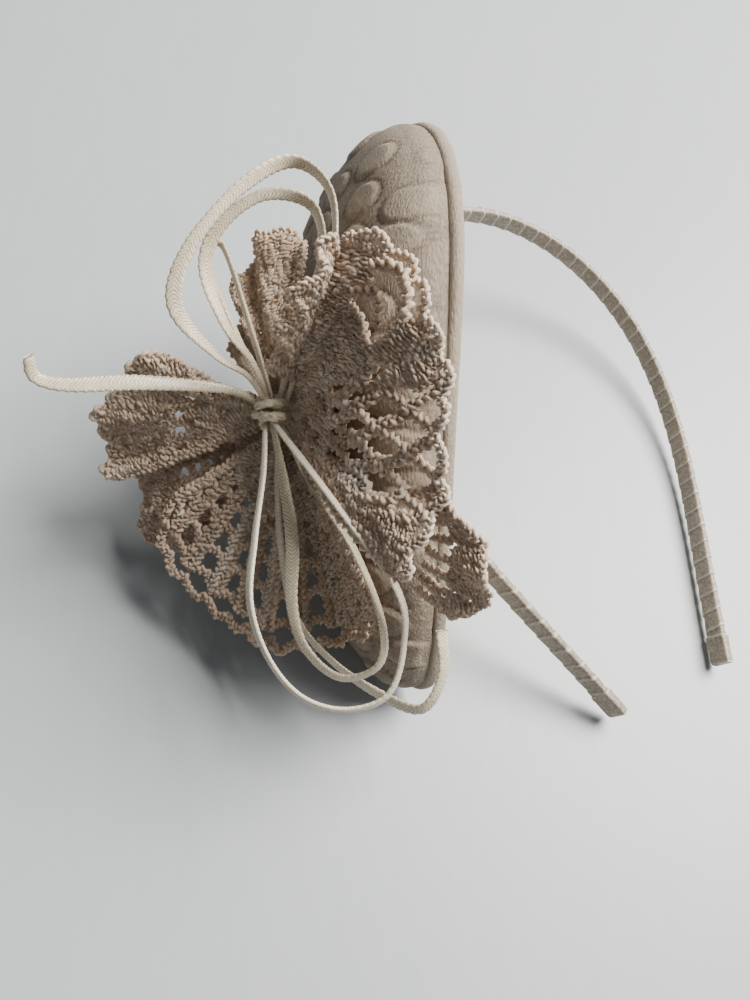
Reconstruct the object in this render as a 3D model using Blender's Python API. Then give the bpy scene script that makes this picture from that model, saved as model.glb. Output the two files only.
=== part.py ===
"""Side-worn hair piece: a ribbon-wrapped alice band with a quilted pad, a gathered crochet doily and a bow.

Units are metres. The piece lies on a table, as it rests when it isn't worn: z = 0 is the table and the
origin is on the table, under the middle of the whole piece. The band lies mostly at +X and its two ends
point to -Y. Two local frames are placed in the world:
  band frame: X-Y holds the U shape, +Y is the crown, and Z is the width of the strip
  pad frame:  X runs down to the narrow end, Y to the upper rim, and Z out of the quilted front
"""
import math

import bmesh
import bpy
import numpy as np
from mathutils import Euler, Matrix, Vector

# ---- overall layout -------------------------------------------------------------------------------
GAP = 0.0003                     # clearance between neighbouring pieces
BAND_PLACE = (0.01064, 0.07037, 0.03642)
BAND_TURN = (13.3, 15.9, 28.7)   # degrees, XYZ
PAD_PLACE = (-0.01339, -0.00683, 0.04348)
PAD_TURN = (72.4, 29.5, -83.2)   # degrees, XYZ

# ---- band -----------------------------------------------------------------------------------------
BAND_HALF_LENGTH = 0.186         # from the middle of the crown to an end, along the strip
CROWN_RADIUS = 0.0529
STRAIGHT_MIDDLE = 0.0771         # from an end, where the straight leg has half become the crown
STRAIGHT_BLEND = 0.0608
END_TWIST_RUN = 0.110            # stretch over which an end drifts out of the band's plane
END_RISE_A = 0.0050
END_DROP_B = 0.0042
CORE_WIDTH = 0.0039
CORE_THICK = 0.0005
WRAP_WALL = 0.0004
WRAP_WIDTH = CORE_WIDTH + 2 * (GAP + WRAP_WALL)
WRAP_THICK = CORE_THICK + 2 * (GAP + WRAP_WALL)
HINGE_FROM_END = 0.088           # where each leg starts to bend when the band is opened
HINGE_GAP = 0.0008
FOLD_LENGTH = 0.0070             # folded ribbon over each end
FOLD_WALL = 0.0003
TIE_SPACING = 0.0120             # the two thread ties sit this far either side of the contact
TIE_AT_PAD = 0.2590              # where the band touches the pad, from end A
TIE_LENGTH = 0.0030
TIE_WALL = 0.0006

# ---- pad ------------------------------------------------------------------------------------------
PAD_HALF_LENGTH = 0.0688
PAD_HALF_WIDTH = 0.0339
PAD_TAPER = 0.265                # the upper end is wider by this share, the lower end narrower
PAD_BEND_RADIUS = 0.226          # the pad bends back along its length
BACKING_OVERHANG = 0.0006
BACKING_THICK = 0.0010
BOARD_THICK = 0.0015
BOARD_INSET = 0.0015
COVER_THICK = 0.0012
COVER_SKIRT = 0.0040
COVER_CROWN = 0.0135
COVER_BASE = BACKING_THICK + GAP
PAD_SECTORS = 40
PAD_RINGS = 7

# ---- doily ----------------------------------------------------------------------------------------
LACE_THICK = 0.0014
GATHER_RADIUS = 0.0070
GATHER_BASE = 0.0192
GATHER_TOP = 0.0232
LACE_ROOT_RADIUS = 0.0082
LACE_ROOT_HEIGHT = 0.0215
LACE_ABOVE_PAD = 0.0008

# ---- bow ------------------------------------------------------------------------------------------
KNOT_HEIGHT = 0.0277
KNOT_HALF_LENGTH = 0.0026
KNOT_HALF_WIDTH = 0.0034
KNOT_HALF_THICK = 0.0036
STRAND_START = 0.0037            # strands leave this far from the knot's middle
STRAND_THICK = 0.0004
STRAND_WIDTH = 0.0032
THIN_STRAND_WIDTH = 0.0020
LAYER = 0.0009                   # spacing of the strands stacked in the knot

MM = 0.001
SMOOTH_ANGLE = 40                # degrees; edges sharper than this stay sharp


# ---- scene and materials --------------------------------------------------------------------------
def clear_scene():
    for obj in list(bpy.data.objects):
        bpy.data.objects.remove(obj, do_unlink=True)


def make_material(name, colour, roughness, metallic=0.0):
    material = bpy.data.materials.new(name)
    material.use_nodes = True
    shader = material.node_tree.nodes["Principled BSDF"]
    shader.inputs["Base Color"].default_value = (*colour, 1.0)
    shader.inputs["Roughness"].default_value = roughness
    shader.inputs["Metallic"].default_value = metallic
    return material


def add_frame(name, place, turn):
    frame = bpy.data.objects.new(name, None)
    frame.location = place
    frame.rotation_euler = Euler([math.radians(angle) for angle in turn], "XYZ")
    bpy.context.scene.collection.objects.link(frame)
    return frame


def frame_matrix(place, turn):
    rotation = Euler([math.radians(angle) for angle in turn], "XYZ").to_matrix().to_4x4()
    return Matrix.Translation(place) @ rotation


def add_mesh(name, verts, faces, parent, material, origin=(0, 0, 0)):
    """A closed mesh whose points are in the parent's frame; origin is the object's own place there."""
    origin = Vector(origin)
    mesh = bpy.data.meshes.new(name)
    mesh.from_pydata([Vector(v) - origin for v in verts], [], faces)
    shape = bmesh.new()
    shape.from_mesh(mesh)
    bmesh.ops.recalc_face_normals(shape, faces=shape.faces)
    shape.to_mesh(mesh)
    shape.free()
    mesh.materials.append(material)
    mesh.shade_smooth()
    mesh.set_sharp_from_angle(angle=math.radians(SMOOTH_ANGLE))
    obj = bpy.data.objects.new(name, mesh)
    bpy.context.scene.collection.objects.link(obj)
    obj.parent = parent
    obj.location = origin
    return obj


# ---- sweeps ---------------------------------------------------------------------------------------
def bridge(rings):
    """Quads between rings of equal length that follow each other in one vertex list."""
    faces = []
    count = len(rings[0])
    for row in range(len(rings) - 1):
        for i in range(count):
            j = (i + 1) % count
            faces.append((row * count + i, row * count + j, (row + 1) * count + j, (row + 1) * count + i))
    return faces


def capped_body(rings):
    """A closed body from rings joined in order, with a flat cap on the first ring and the last."""
    verts = [v for ring in rings for v in ring]
    count = len(rings[0])
    last = len(verts) - count
    caps = [tuple(range(count))[::-1], tuple(range(last, last + count))]
    return verts, bridge(rings) + caps


def box_ring(point, across, outward, width, thick):
    half_w = across * (width / 2)
    half_t = outward * (thick / 2)
    low = point - half_t
    high = point + half_t
    return [low - half_w, low + half_w, high + half_w, high - half_w]


def solid_strip(stations, width, thick):
    return capped_body([box_ring(*station, width, thick) for station in stations])


def tube_strip(stations, width, thick, wall):
    """A flat tube around the strip, open at both ends."""
    outer = [box_ring(*station, width, thick) for station in stations]
    inner = [box_ring(*station, width - 2 * wall, thick - 2 * wall) for station in stations]
    rings = outer + inner[::-1]
    verts = [v for ring in rings for v in ring]
    faces = bridge(rings + [outer[0]])
    return verts, [tuple(v % len(verts) for v in face) for face in faces]


def end_sleeve(stations, width, thick, wall):
    """A flat tube around the strip, with a wall across its last station."""
    point, across, outward = stations[-1]
    back = (stations[-2][0] - point).normalized() * wall
    inside = stations[:-1] + [(point + back, across, outward)]
    outer = [box_ring(*station, width, thick) for station in stations]
    inner = [box_ring(*station, width - 2 * wall, thick - 2 * wall) for station in inside]
    return capped_body(inner[::-1] + outer)


def curve_through(points, steps):
    """Even samples of a Catmull-Rom curve through the points."""
    pts = [Vector(p) for p in points]
    pts = [pts[0] * 2 - pts[1]] + pts + [pts[-1] * 2 - pts[-2]]
    dense = []
    for i in range(1, len(pts) - 2):
        p0, p1, p2, p3 = pts[i - 1:i + 3]
        for k in range(16):
            t = k / 16
            dense.append(0.5 * ((2 * p1) + (p2 - p0) * t + (2 * p0 - 5 * p1 + 4 * p2 - p3) * t * t
                                + (3 * p1 - p0 - 3 * p2 + p3) * t * t * t))
    dense.append(pts[-2].copy())
    lengths = np.cumsum([0.0] + [(b - a).length for a, b in zip(dense, dense[1:])])
    wanted = np.linspace(0, lengths[-1], steps + 1)
    return [Vector([np.interp(s, lengths, [p[axis] for p in dense]) for axis in range(3)]) for s in wanted]


# ---- band -----------------------------------------------------------------------------------------
def smoothstep(value):
    value = min(max(value, 0.0), 1.0)
    return value * value * (3 - 2 * value)


def band_station(along):
    """Point, width direction and outward direction in the band frame, from end A at 0 to end B."""
    from_crown = BAND_HALF_LENGTH - along
    side = 1 if from_crown >= 0 else -1
    steps = 240
    distance = abs(from_crown)
    angle = 0.0
    x = y = 0.0
    step = distance / steps
    for k in range(steps):
        from_end = BAND_HALF_LENGTH - (k + 0.5) * step
        start = STRAIGHT_MIDDLE - STRAIGHT_BLEND
        bend = smoothstep((from_end - start) / (2 * STRAIGHT_BLEND)) / CROWN_RADIUS
        angle += bend * step / 2
        x += math.cos(angle) * step
        y -= math.sin(angle) * step
        angle += bend * step / 2
    end_a = max(1 - along / END_TWIST_RUN, 0.0)
    end_b = max(1 - (2 * BAND_HALF_LENGTH - along) / END_TWIST_RUN, 0.0)
    lift = END_RISE_A * end_a ** 2 - END_DROP_B * end_b ** 2
    point = Vector((side * x, y, lift))
    outward = Vector((side * math.sin(angle), math.cos(angle), 0))
    return point, Vector((0, 0, 1)), outward


def band_stretch(start, end, steps):
    return [band_station(start + (end - start) * k / steps) for k in range(steps + 1)]


def build_band(frame, steel, ribbon, thread):
    full = 2 * BAND_HALF_LENGTH
    hinge_a = band_station(HINGE_FROM_END)[0]
    hinge_b = band_station(full - HINGE_FROM_END)[0]
    half_gap = HINGE_GAP / 2
    legs = (("a", 0.0, HINGE_FROM_END - half_gap, hinge_a),
            ("b", full, full - HINGE_FROM_END + half_gap, hinge_b))
    crown = band_stretch(HINGE_FROM_END + half_gap, full - HINGE_FROM_END - half_gap, 36)
    add_mesh("band_core_crown", *solid_strip(crown, CORE_WIDTH, CORE_THICK), frame, steel)
    add_mesh("band_wrap_crown", *tube_strip(crown, WRAP_WIDTH, WRAP_THICK, WRAP_WALL), frame, ribbon)
    for side, tip, root, hinge in legs:
        direction = 1 if root > tip else -1
        wrap = band_stretch(root, tip + direction * 0.0008, 12)
        core = band_stretch(root, tip + direction * 0.0012, 12)
        add_mesh("band_core_leg_" + side, *solid_strip(core, CORE_WIDTH, CORE_THICK), frame, steel, hinge)
        add_mesh("band_wrap_leg_" + side, *tube_strip(wrap, WRAP_WIDTH, WRAP_THICK, WRAP_WALL),
                 frame, ribbon, hinge)
        fold = band_stretch(tip + direction * FOLD_LENGTH, tip, 2)
        fold_width = WRAP_WIDTH + 2 * (GAP + FOLD_WALL)
        fold_thick = WRAP_THICK + 2 * (GAP + FOLD_WALL)
        add_mesh("band_end_fold_" + side, *end_sleeve(fold, fold_width, fold_thick, FOLD_WALL),
                 frame, ribbon, hinge)
    for label, along in (("upper", TIE_AT_PAD - TIE_SPACING), ("lower", TIE_AT_PAD + TIE_SPACING)):
        ring = band_stretch(along - TIE_LENGTH / 2, along + TIE_LENGTH / 2, 2)
        width = WRAP_WIDTH + 2 * (GAP + TIE_WALL)
        thick = WRAP_THICK + 2 * (GAP + TIE_WALL)
        add_mesh("band_tie_" + label, *tube_strip(ring, width, thick, TIE_WALL), frame, thread)


# ---- pad ------------------------------------------------------------------------------------------
def pad_outline(angle, inset):
    """A point of the egg outline, moved in by inset."""
    x = (PAD_HALF_LENGTH - inset) * math.cos(angle)
    y = (PAD_HALF_WIDTH - inset) * (1 - PAD_TAPER * math.cos(angle)) * math.sin(angle)
    return x, y


def bend_back(x):
    return x * x / (2 * PAD_BEND_RADIUS)


def dome_rise(share):
    """Height of the padded front above its skirt, at a share of the way out to the rim."""
    return COVER_CROWN * math.sqrt(max(1 - share ** 3, 0.0))


def pad_front(x, y):
    """Height of the quilted front over a point, or None outside the outline."""
    reach = 0.0
    for _ in range(12):
        angle = math.atan2(y / (PAD_HALF_WIDTH * (1 - PAD_TAPER * math.cos(reach))), x / PAD_HALF_LENGTH)
        reach = angle
    rim_x, rim_y = pad_outline(reach, 0.0)
    share = math.hypot(x, y) / math.hypot(rim_x, rim_y)
    if share > 1:
        return None
    return COVER_BASE + COVER_SKIRT + dome_rise(share) - bend_back(x)


def egg_rows(inset, heights):
    """Rings of points from the middle out; heights maps a share of the way out to a height."""
    rows = []
    for share in [math.sin(math.pi / 2 * k / PAD_RINGS) for k in range(1, PAD_RINGS + 1)]:
        row = []
        for i in range(PAD_SECTORS):
            x, y = pad_outline(2 * math.pi * i / PAD_SECTORS, inset)
            row.append(Vector((x * share, y * share, heights(share) - bend_back(x * share))))
        rows.append(row)
    return rows


def close_shell(rows, first_height, last_height):
    """Closed body from rings: a middle point, the rings, and a middle point again."""
    verts = [Vector((0, 0, first_height))] + [v for row in rows for v in row] + [Vector((0, 0, last_height))]
    count = PAD_SECTORS
    faces = [(0, 1 + i, 1 + (i + 1) % count) for i in range(count)]
    faces += [tuple(v + 1 for v in face) for face in bridge(rows)]
    last = 1 + (len(rows) - 1) * count
    faces += [(last + (i + 1) % count, last + i, len(verts) - 1) for i in range(count)]
    return verts, faces


def egg_plate(inset, low, thick):
    top = egg_rows(inset, lambda share: low + thick)
    bottom = egg_rows(inset, lambda share: low)
    return close_shell(top + bottom[::-1], low + thick, low)


def build_pad(frame, quilt, stuffing, board, felt):
    add_mesh("pad_backing", *egg_plate(-BACKING_OVERHANG, 0.0, BACKING_THICK), frame, felt)
    board_low = BACKING_THICK + GAP
    add_mesh("pad_board", *egg_plate(BOARD_INSET, board_low, BOARD_THICK), frame, board)

    skirt_top = COVER_BASE + COVER_SKIRT
    outer = egg_rows(0.0, lambda share: skirt_top + dome_rise(share))
    inner = egg_rows(COVER_THICK, lambda share: skirt_top + dome_rise(share) - COVER_THICK)
    foot_outer = [Vector((v.x, v.y, v.z - COVER_SKIRT)) for v in outer[-1]]
    foot_inner = [Vector((v.x, v.y, COVER_BASE - bend_back(v.x))) for v in inner[-1]]
    rows = outer + [foot_outer, foot_inner] + inner[::-1]
    peak = skirt_top + COVER_CROWN
    add_mesh("pad_cover", *close_shell(rows, peak, peak - COVER_THICK), frame, quilt)

    inset = COVER_THICK + GAP
    low = board_low + BOARD_THICK + GAP
    top = egg_rows(inset, lambda share: skirt_top + dome_rise(share) - COVER_THICK - GAP)
    bottom = egg_rows(inset, lambda share: low)
    add_mesh("pad_wadding", *close_shell(top + bottom[::-1], peak - COVER_THICK - GAP, low), frame, stuffing)


# ---- doily ----------------------------------------------------------------------------------------
def lace_sheet(root, rim, waves, ruffle, lift, across=14, along=6):
    """A thin closed sheet from a root curve to a rim curve, both in the pad frame, ruffled at the rim."""
    inner = curve_through(root, across)
    outer = curve_through(rim, across)
    grid = []
    for k in range(along + 1):
        v = k / along
        row = []
        for i in range(across + 1):
            u = i / across
            point = inner[i].lerp(outer[i], v)
            point.z += ruffle * v * v * math.sin(2 * math.pi * waves * u)
            floor = pad_front(point.x, point.y)
            if floor is not None:
                point.z = max(point.z, floor + lift + LACE_THICK / 2)
            row.append(point)
        grid.append(row)
    return thicken(grid, LACE_THICK)


def thicken(grid, thick):
    rows = len(grid)
    cols = len(grid[0])
    top = []
    bottom = []
    for k in range(rows):
        for i in range(cols):
            du = grid[k][min(i + 1, cols - 1)] - grid[k][max(i - 1, 0)]
            dv = grid[min(k + 1, rows - 1)][i] - grid[max(k - 1, 0)][i]
            normal = du.cross(dv).normalized()
            top.append(grid[k][i] + normal * (thick / 2))
            bottom.append(grid[k][i] - normal * (thick / 2))
    total = rows * cols
    faces = []
    for k in range(rows - 1):
        for i in range(cols - 1):
            quad = (k * cols + i, k * cols + i + 1, (k + 1) * cols + i + 1, (k + 1) * cols + i)
            faces.append(quad)
            faces.append(tuple(v + total for v in reversed(quad)))
    edge = list(range(cols))
    edge += [k * cols + cols - 1 for k in range(1, rows)]
    edge += [(rows - 1) * cols + i for i in range(cols - 2, -1, -1)]
    edge += [k * cols for k in range(rows - 2, 0, -1)]
    for a, b in zip(edge, edge[1:] + edge[:1]):
        faces.append((b, a, a + total, b + total))
    return top + bottom, faces


def gather_arc(start, end, radius=LACE_ROOT_RADIUS, height=LACE_ROOT_HEIGHT):
    """Three points on the gathered middle, between two directions in degrees in the pad frame."""
    points = []
    for k in range(3):
        angle = math.radians(start + (end - start) * k / 2)
        points.append((radius * math.cos(angle), radius * math.sin(angle), height))
    return points


def millimetres(points):
    return [tuple(value * MM for value in point) for point in points]


def build_doily(frame, lace):
    rings = ((GATHER_RADIUS * 0.72, GATHER_BASE), (GATHER_RADIUS, GATHER_BASE + 0.0012),
             (GATHER_RADIUS, GATHER_TOP - 0.0012), (GATHER_RADIUS * 0.72, GATHER_TOP))
    sectors = 24
    rows = []
    for radius, height in rings:
        turn = [2 * math.pi * i / sectors for i in range(sectors)]
        rows.append([Vector((radius * math.cos(a), radius * math.sin(a), height)) for a in turn])
    add_mesh("doily_gather", *capped_body(rows), frame, lace)

    upper_wing = millimetres([(-31, 25, 20), (-22, 37, 13), (-5, 41, 8), (16, 37, 9), (37, 29, 12)])
    add_mesh("doily_wing_near", *lace_sheet(gather_arc(146, 40), upper_wing, 2.0, 0.0008, 0.0030),
             frame, lace)
    tuck = millimetres([(15, 41, 4), (28, 36, 4.5), (41, 25, 4.5)])
    corner = millimetres([(22, 47, 4), (33, 50, 1), (44, 43, -2), (50, 30, -1)])
    add_mesh("doily_lobe_corner", *lace_sheet(tuck, corner, 1.5, 0.0008, LACE_ABOVE_PAD), frame, lace)
    top_wing = millimetres([(-14, -17, 29), (-27, -14, 30), (-40, -9, 27), (-42, 0, 23)])
    add_mesh("doily_wing_top", *lace_sheet(gather_arc(228, 176), top_wing, 1.5, 0.0008, LACE_ABOVE_PAD),
             frame, lace)
    bottom_wing = millimetres([(22, -14, 43), (41, -19, 39), (47, -10, 31), (52, -5, 21), (48, 7, 13)])
    add_mesh("doily_wing_bottom", *lace_sheet(gather_arc(-34, 22), bottom_wing, 2.0, 0.0008,
                                              LACE_ABOVE_PAD), frame, lace)
    left_upper = millimetres([(-13, -10, 49), (-5, -23, 61), (5, -30, 60), (12, -33, 55)])
    add_mesh("doily_lobe_left_upper", *lace_sheet(gather_arc(254, 284, height=0.0235), left_upper, 1.0,
                                                  0.0008, LACE_ABOVE_PAD), frame, lace)
    left_lower = millimetres([(17, -35, 50), (25, -35, 48), (31, -34, 43), (31, -27, 35)])
    add_mesh("doily_lobe_left_lower", *lace_sheet(gather_arc(290, 318, height=0.0225), left_lower, 1.0,
                                                  0.0008, LACE_ABOVE_PAD), frame, lace)


# ---- bow ------------------------------------------------------------------------------------------
def strand(points, width, twist, steps):
    """A flat ribbon along a curve. Its width lies along pad Y at the knot and turns by twist halfway."""
    path = curve_through(points, steps)
    stations = []
    for k, point in enumerate(path):
        tangent = (path[min(k + 1, steps)] - path[max(k - 1, 0)]).normalized()
        level = Vector((0, 1, 0))
        level = (level - tangent * level.dot(tangent)).normalized()
        side = tangent.cross(level)
        turn = math.radians(twist) * math.sin(math.pi * k / steps)
        across = level * math.cos(turn) + side * math.sin(turn)
        stations.append((point, across, tangent.cross(across)))
    return solid_strip(stations, width, STRAND_THICK)


def knot_exit(direction, across, layer):
    """Where a strand leaves the knot: direction -1 is up the pad and +1 down; layer 0 is the middle."""
    return direction * STRAND_START, across * MM, KNOT_HEIGHT + layer * LAYER


def build_bow(frame, raffia):
    pivot = (0, 0, KNOT_HEIGHT)
    ring = []
    for k in range(20):
        angle = 2 * math.pi * k / 20
        ring.append((KNOT_HALF_WIDTH * math.cos(angle), KNOT_HEIGHT + KNOT_HALF_THICK * math.sin(angle)))
    rows = []
    for x, scale in ((-1.0, 0.82), (-0.55, 1.0), (0.55, 1.0), (1.0, 0.82)):
        rows.append([Vector((x * KNOT_HALF_LENGTH, y * scale, KNOT_HEIGHT + (z - KNOT_HEIGHT) * scale))
                     for y, z in ring])
    add_mesh("bow_knot", *capped_body(rows), frame, raffia)

    wide = STRAND_WIDTH
    thin = THIN_STRAND_WIDTH
    tail = [knot_exit(-1, -2.4, 4)]
    tail += millimetres([(-4.8, -2.3, 36), (-5.6, -2, 45), (-6, -2, 58), (-5.4, -4, 72), (-7, -5, 78),
                         (-11, -3, 79.5)])
    upper_outer = [knot_exit(-1, 0.5, 2.6)]
    upper_outer += millimetres([(-7.5, 3.5, 35), (-11.5, 6, 43), (-21, 8, 52), (-33, 10, 49), (-46, 13, 38),
                                (-52, 14, 27), (-46, 16, 19.5), (-33, 15.5, 19), (-20, 11, 22)])
    upper_outer += [knot_exit(-1, 3.6, -2.8)]
    upper_inner = [knot_exit(-1, 0, 1.4)]
    upper_inner += millimetres([(-11, 0, 32.5), (-19, 0, 38.5), (-31, 1, 43), (-40, 4, 40), (-46.5, 7, 31),
                                (-45, 9, 21), (-35, 9, 18.5), (-22, 6, 22)])
    upper_inner += [knot_exit(-1, 0, -1.8)]
    upper_thin = [knot_exit(-1, -2.2, 0.5)]
    upper_thin += millimetres([(-17, -5.5, 33.5), (-33, -6.5, 39.5), (-38.5, -6.5, 38), (-34, -6.5, 34.5)])
    upper_thin += [knot_exit(-1, -2.2, -0.8)]
    lower_outer = [knot_exit(1, 0, 2.6)]
    lower_outer += millimetres([(14, 6, 33), (28, 10, 37), (41, 14, 40), (53, 16, 37), (62, 17, 30),
                                (66, 18, 20), (63, 22, 12), (52, 26, 10), (39, 29, 13), (20, 21, 23.5)])
    lower_outer += [knot_exit(1, 2, 1.4)]
    lower_middle = [knot_exit(1, -0.5, 0.4)]
    lower_middle += millimetres([(14, 2.7, 27.1), (29, 7, 27), (43, 8, 28), (53, 10, 26), (60, 13, 19),
                                 (57, 19, 12.5), (47, 22, 13), (31, 19.5, 18), (16, 10, 23)])
    lower_middle += [knot_exit(1, 1.5, -1)]
    lower_tail = [knot_exit(1, -1.8, -2.2)]
    lower_tail += millimetres([(16, -1.4, 26.6), (32, 0.2, 26.8), (47, 4, 25.4), (58, 9, 18), (66, 14, 8),
                               (68, 20, 2), (60, 24, -1), (50, 24, -1)])
    for name, points, width, twist, steps in (
            ("bow_tail_long", tail, wide, 60, 20),
            ("bow_loop_upper_outer", upper_outer, wide, 50, 34),
            ("bow_loop_upper_inner", upper_inner, wide, 50, 32),
            ("bow_loop_upper_thin", upper_thin, thin, 0, 20),
            ("bow_loop_lower_outer", lower_outer, thin, 0, 36),
            ("bow_loop_lower_middle", lower_middle, wide, 30, 36),
            ("bow_tail_lower", lower_tail, wide, 30, 26)):
        add_mesh(name, *strand(points, width, twist, steps), frame, raffia, pivot)


# ---- assembly -------------------------------------------------------------------------------------
def main():
    clear_scene()
    steel = make_material("spring_steel", (0.55, 0.55, 0.56), 0.35, 1.0)
    ribbon = make_material("wrap_ribbon", (0.60, 0.53, 0.44), 0.55)
    thread = make_material("sewing_thread", (0.66, 0.60, 0.50), 0.7)
    quilt = make_material("quilted_cotton", (0.42, 0.36, 0.30), 0.85)
    stuffing = make_material("wadding", (0.85, 0.84, 0.80), 0.95)
    board = make_material("millinery_board", (0.70, 0.64, 0.52), 0.8)
    felt = make_material("backing_felt", (0.48, 0.42, 0.35), 0.9)
    lace = make_material("crochet_cotton", (0.52, 0.43, 0.33), 0.85)
    raffia = make_material("flat_raffia", (0.66, 0.58, 0.43), 0.5)
    band = add_frame("band_frame", BAND_PLACE, BAND_TURN)
    pad = add_frame("pad_frame", PAD_PLACE, PAD_TURN)
    build_band(band, steel, ribbon, thread)
    build_pad(pad, quilt, stuffing, board, felt)
    build_doily(pad, lace)
    build_bow(pad, raffia)


main()
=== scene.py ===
"""Looks for the ribbon-wrapped alice band with its quilted pad, crochet doily and bow."""
import math

import bpy
import numpy as np
from mathutils import Euler, Matrix, Vector


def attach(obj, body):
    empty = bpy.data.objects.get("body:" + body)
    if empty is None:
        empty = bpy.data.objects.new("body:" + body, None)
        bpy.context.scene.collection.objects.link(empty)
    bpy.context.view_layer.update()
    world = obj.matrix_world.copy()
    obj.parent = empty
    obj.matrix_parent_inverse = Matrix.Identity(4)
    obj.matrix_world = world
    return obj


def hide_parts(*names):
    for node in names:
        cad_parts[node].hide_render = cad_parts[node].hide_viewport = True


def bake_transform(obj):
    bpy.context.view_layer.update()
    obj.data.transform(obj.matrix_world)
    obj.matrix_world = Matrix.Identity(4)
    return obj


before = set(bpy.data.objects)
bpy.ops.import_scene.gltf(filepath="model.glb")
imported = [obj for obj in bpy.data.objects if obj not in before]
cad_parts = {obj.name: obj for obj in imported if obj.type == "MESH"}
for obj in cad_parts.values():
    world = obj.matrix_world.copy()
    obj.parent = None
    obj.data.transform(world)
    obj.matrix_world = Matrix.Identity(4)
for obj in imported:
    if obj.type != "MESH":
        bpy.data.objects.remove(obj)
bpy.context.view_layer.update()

MM = 0.001
rng = np.random.default_rng(11)

# ---- frames, as in the CAD (millimetres inside, metres in the world) ----
BAND_PLACE, BAND_TURN = (10.64, 70.37, 36.42), (13.3, 15.9, 28.7)
PAD_PLACE, PAD_TURN = (-13.39, -6.83, 43.48), (72.4, 29.5, -83.2)
BAND_HALF, CROWN_RADIUS, STRAIGHT_MIDDLE, STRAIGHT_BLEND = 186.0, 52.9, 77.1, 60.8
PAD_HALF_LENGTH, PAD_HALF_WIDTH, PAD_TAPER, PAD_BEND = 68.8, 33.9, 0.265, 226.0
COVER_BASE, COVER_SKIRT, COVER_CROWN = 1.3, 4.0, 13.5
KNOT = np.array([0.0, 0.0, 27.7])
VIEW = np.array([0.134, 0.471, -0.872])  # the way the camera looks
CAMERA_PLACE = (-41.6, -126.4, 219.7)

# ---- measures of the looks, in millimetres ----
SIMULATION_SCALE = 10             # the cushion is simulated larger, which suits the solver
CUSHION_VOXEL, SWELL, QUICK_SWELL = 3.6, 1.4, 1.0
BUBBLE_GRID, BUBBLE_JITTER, BUBBLE_RISE, GROOVE_SINK, SEAM_SINK = (13.5, 10.5), 1.5, 0.60, 0.28, 0.35
STRAW_WIDE, STRAW_THIN, STRAW_THICK, STRAW_STEP, STRAW_ACROSS, BRAID = 3.0, 1.9, 0.42, 0.28, 13, 1.7
HINGE_FROM_TIP, CROWN_FROM_TIP, FLEX_REACH = 88.0, 98.0, 8.0
TABLE_HALF, TABLE_TOP, LIGHT_TARGET = 2.5, -0.0006, (0, 0, 0.03)          # in metres


def turn_matrix(turn):
    return np.array(Euler([math.radians(a) for a in turn], "XYZ").to_matrix())


PAD_TURN_M, BAND_TURN_M = turn_matrix(PAD_TURN), turn_matrix(BAND_TURN)


def pad_world(points):
    return (np.atleast_2d(points) @ PAD_TURN_M.T + PAD_PLACE) * MM


def band_world(points):
    return (np.atleast_2d(points) @ BAND_TURN_M.T + BAND_PLACE) * MM


VIEW_PAD = VIEW @ PAD_TURN_M


# ---- meshes ----
def unit(v):
    return v / np.maximum(np.linalg.norm(v, axis=-1, keepdims=True), 1e-9)


def read(mesh, what):
    """The "co" or "normal" of every vertex, as rows."""
    values = np.empty(len(mesh.vertices) * 3)
    mesh.vertices.foreach_get(what, values)
    return values.reshape(-1, 3)


def move_to(mesh, points):
    mesh.vertices.foreach_set("co", points.ravel())


def add_tone(mesh, tone):
    """Tone from a cloth's dark colour at -1 to its light one at 1: painted shade and painted highlights
    on most pieces, random strand tone on the lace.
    """
    layer = mesh.attributes.new("tone", "FLOAT", "POINT")
    layer.data.foreach_set("value", np.asarray(tone, np.float32))


def add_weave(mesh, points):
    """Pad coordinates that the quilt's texture follows."""
    layer = mesh.attributes.new("weave", "FLOAT_VECTOR", "POINT")
    layer.data.foreach_set("vector", points.astype(np.float32).ravel())


def dress(obj, body, slot, *nodes):
    """Puts a piece on its body, in place of its CAD nodes; slot is not used."""
    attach(obj, body)
    if nodes:
        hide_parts(*nodes)


def make_piece(name, verts, faces, material, tone=None):
    mesh = bpy.data.meshes.new(name)
    verts = np.asarray(verts, float)
    if isinstance(faces, np.ndarray):
        mesh.vertices.add(len(verts))
        mesh.vertices.foreach_set("co", verts.ravel())
        mesh.loops.add(faces.size)
        mesh.loops.foreach_set("vertex_index", faces.ravel().astype(np.int32))
        mesh.polygons.add(len(faces))
        starts = np.arange(0, faces.size, faces.shape[1], dtype=np.int32)
        mesh.polygons.foreach_set("loop_start", starts)
        mesh.update(calc_edges=True)
        mesh.validate()
    else:
        mesh.from_pydata(verts.tolist(), [], faces)
    mesh.shade_smooth()
    if tone is not None:
        add_tone(mesh, tone)
    mesh.materials.append(material)
    obj = bpy.data.objects.new(name, mesh)
    bpy.context.scene.collection.objects.link(obj)
    return obj


class Build:
    """Collects tubes and ribbons into one mesh."""

    def __init__(self):
        self.verts, self.faces, self.tones, self.count = [], [], [], 0

    def add(self, verts, faces, tone):
        self.verts.append(verts)
        self.faces.append(faces + self.count)
        self.tones.append(tone)
        self.count += len(verts)

    def piece(self, name, material, to_world):
        verts = to_world(np.concatenate(self.verts))
        faces, tones = np.concatenate(self.faces), np.concatenate(self.tones)
        return make_piece(name, verts, faces, material, tones)


def smooth_curve(points, dense=24):
    """Dense Catmull-Rom samples through the points."""
    p = np.asarray(points, float)
    p = np.vstack([2 * p[0] - p[1], p, 2 * p[-1] - p[-2]])
    t = (np.arange(dense) / dense)[:, None]
    out = []
    for a, b, c, d in zip(p, p[1:], p[2:], p[3:]):
        out.append(0.5 * (2 * b + (c - a) * t + (2 * a - 5 * b + 4 * c - d) * t * t
                          + (3 * b - a - 3 * c + d) * t ** 3))
    return np.vstack(out + [p[-2:-1]])


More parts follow.
